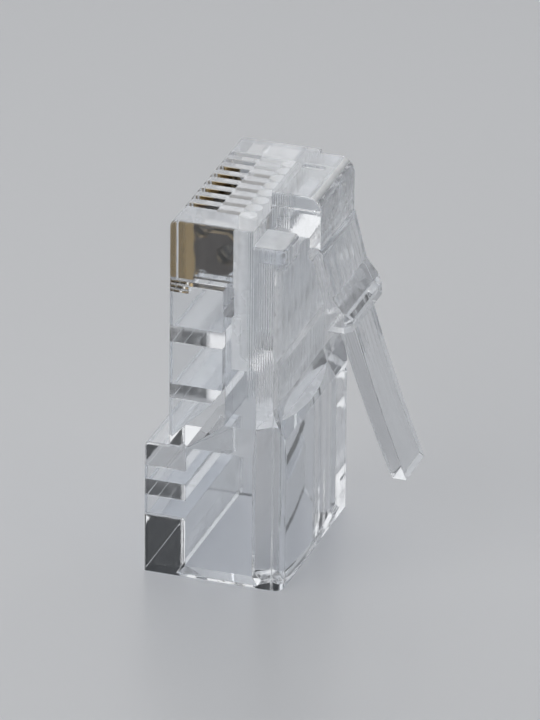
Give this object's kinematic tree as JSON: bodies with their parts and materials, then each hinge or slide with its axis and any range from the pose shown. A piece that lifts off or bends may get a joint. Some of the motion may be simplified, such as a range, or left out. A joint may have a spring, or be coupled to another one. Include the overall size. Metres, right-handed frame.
{
  "type": "modular plug",
  "caption": "Clear modular plug for a data cable, with gold blade contacts in slots at the nose, a hinged latch lever, clamping windows and a rear cable cavity.",
  "frame": {"origin": "middle of the cable opening, in the plane of the rear face on which the plug stands", "axes": "+Z out of the nose, the way the plug is pushed into its jack; +X across the width; +Y towards the latch side, so the contacts open to -Y"},
  "size_m": [0.0116, 0.0138, 0.0226],
  "materials": {
    "clear_housing": "clear polycarbonate, polished sides, fine satin on the front faces and the recessed latch side",
    "clear_lever": "clear polycarbonate, polished",
    "contact_plating": "thin gold plating on stamped copper alloy"
  },
  "bodies": {
    "plug_body": {"housing": "clear_housing", "contact_1": "contact_plating", "contact_2": "contact_plating", "contact_3": "contact_plating", "contact_4": "contact_plating", "contact_5": "contact_plating", "contact_6": "contact_plating", "contact_7": "contact_plating", "contact_8": "contact_plating"},
    "lever": {"latch_lever": "clear_lever"}
  },
  "joints": [
    {"name": "latch_press", "type": "hinge", "parent": "plug_body", "child": "lever", "pos_m": [0, 0.00475, 0.01925], "axis": [-1, 0, 0], "range_deg": [0, 15], "stiffness_Nm_per_rad": 0.05}
  ]
}
